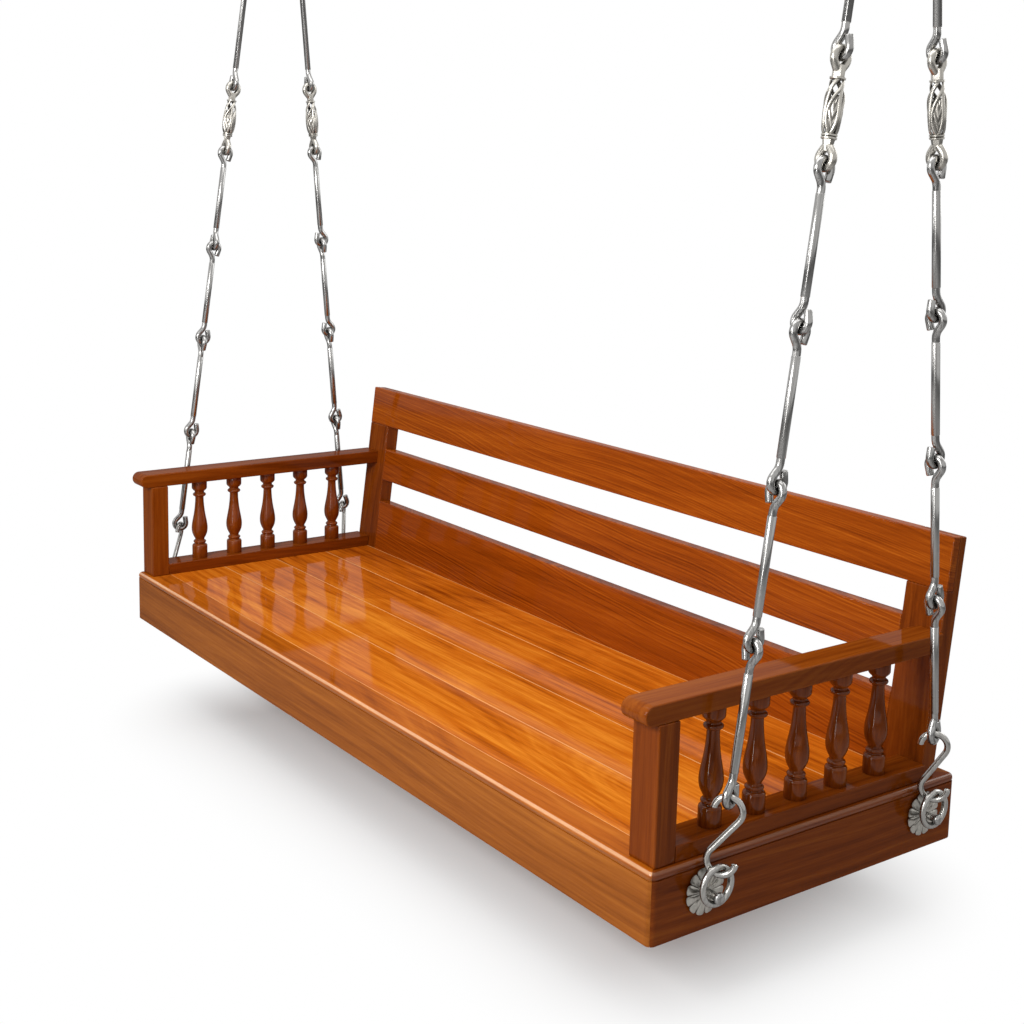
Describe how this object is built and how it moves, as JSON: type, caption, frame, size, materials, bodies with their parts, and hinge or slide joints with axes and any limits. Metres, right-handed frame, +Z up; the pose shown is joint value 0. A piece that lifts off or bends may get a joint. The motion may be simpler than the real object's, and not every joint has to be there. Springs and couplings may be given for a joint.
{
  "type": "jhoola swing",
  "caption": "Indoor jhoola swing: framed plank seat with a leaning railed back and turned arms, hung on rod chains with cast links from two ceiling hooks.",
  "frame": {"origin": "on the ceiling plane, midway between the two ceiling hooks", "axes": "+X to the right end of the seat, +Y to the back of the seat, +Z up; the seat faces -Y"},
  "size_m": [1.974, 0.671, 2.19],
  "materials": {
    "frame_teak": "glossy lacquer",
    "seat_teak": "glossy lacquer",
    "bearer_wood": "plain oiled",
    "rod_steel": "brushed nickel plate",
    "cast_metal": "antique nickel plate",
    "fixing_steel": "zinc plate",
    "forged_steel": "brushed nickel plate"
  },
  "bodies": {
    "ceiling_fixings": {"left_ceiling_hook": "forged_steel", "left_ceiling_plate": "forged_steel", "right_ceiling_hook": "forged_steel", "right_ceiling_plate": "forged_steel"},
    "hangers": {"left_delta_link": "forged_steel", "right_delta_link": "forged_steel"},
    "chains_left": {"front_left_cast_link": "cast_metal", "front_left_rods": "rod_steel", "front_left_s_hook": "rod_steel", "front_left_upper_rod": "rod_steel", "rear_left_cast_link": "cast_metal", "rear_left_rods": "rod_steel", "rear_left_s_hook": "rod_steel", "rear_left_upper_rod": "rod_steel"},
    "chains_right": {"front_right_cast_link": "cast_metal", "front_right_rods": "rod_steel", "front_right_s_hook": "rod_steel", "front_right_upper_rod": "rod_steel", "rear_right_cast_link": "cast_metal", "rear_right_rods": "rod_steel", "rear_right_s_hook": "rod_steel", "rear_right_upper_rod": "rod_steel"},
    "seat": {"back_bottom_board": "frame_teak", "back_middle_rail": "frame_teak", "back_top_rail": "frame_teak", "front_beam": "frame_teak", "front_left_ring_link": "rod_steel", "front_left_rosette": "cast_metal", "front_left_stud": "rod_steel", "front_right_ring_link": "rod_steel", "front_right_rosette": "cast_metal", "front_right_stud": "rod_steel", "left_arm_balusters": "frame_teak", "left_arm_foot_rail": "frame_teak", "left_arm_post": "frame_teak", "left_arm_rail": "frame_teak", "left_back_post": "frame_teak", "left_end_beam": "frame_teak", "plank_bearers": "bearer_wood", "rear_beam": "frame_teak", "rear_left_ring_link": "rod_steel", "rear_left_rosette": "cast_metal", "rear_left_stud": "rod_steel", "rear_right_ring_link": "rod_steel", "rear_right_rosette": "cast_metal", "rear_right_stud": "rod_steel", "right_arm_balusters": "frame_teak", "right_arm_foot_rail": "frame_teak", "right_arm_post": "frame_teak", "right_arm_rail": "frame_teak", "right_back_post": "frame_teak", "right_end_beam": "frame_teak", "seat_plank_1": "seat_teak", "seat_plank_2": "seat_teak", "seat_plank_3": "seat_teak", "seat_plank_4": "seat_teak", "stud_nuts": "fixing_steel", "stud_washers": "fixing_steel"}
  },
  "joints": [
    {"name": "swing", "type": "hinge", "parent": "ceiling_fixings", "child": "hangers", "pos_m": [0, 0, -0.098], "axis": [1, 0, 0], "range_deg": [-25, 25]},
    {"name": "sway_left", "type": "hinge", "parent": "hangers", "child": "chains_left", "pos_m": [-0.937, 0, -0.183], "axis": [0, 1, 0], "range_deg": [-5, 5]},
    {"name": "sway_right", "type": "hinge", "parent": "hangers", "child": "chains_right", "pos_m": [0.937, 0, -0.183], "axis": [0, 1, 0], "range_deg": [-5, 5]},
    {"name": "seat_level", "type": "hinge", "parent": "chains_left", "child": "seat", "pos_m": [-0.937, -0.0455, -2.0856], "axis": [0, 1, 0], "range_deg": [-5, 5]}
  ],
  "couplings": [
    {"joint": "sway_right", "follows": "sway_left", "ratio": 1},
    {"joint": "seat_level", "follows": "sway_left", "ratio": -1}
  ]
}
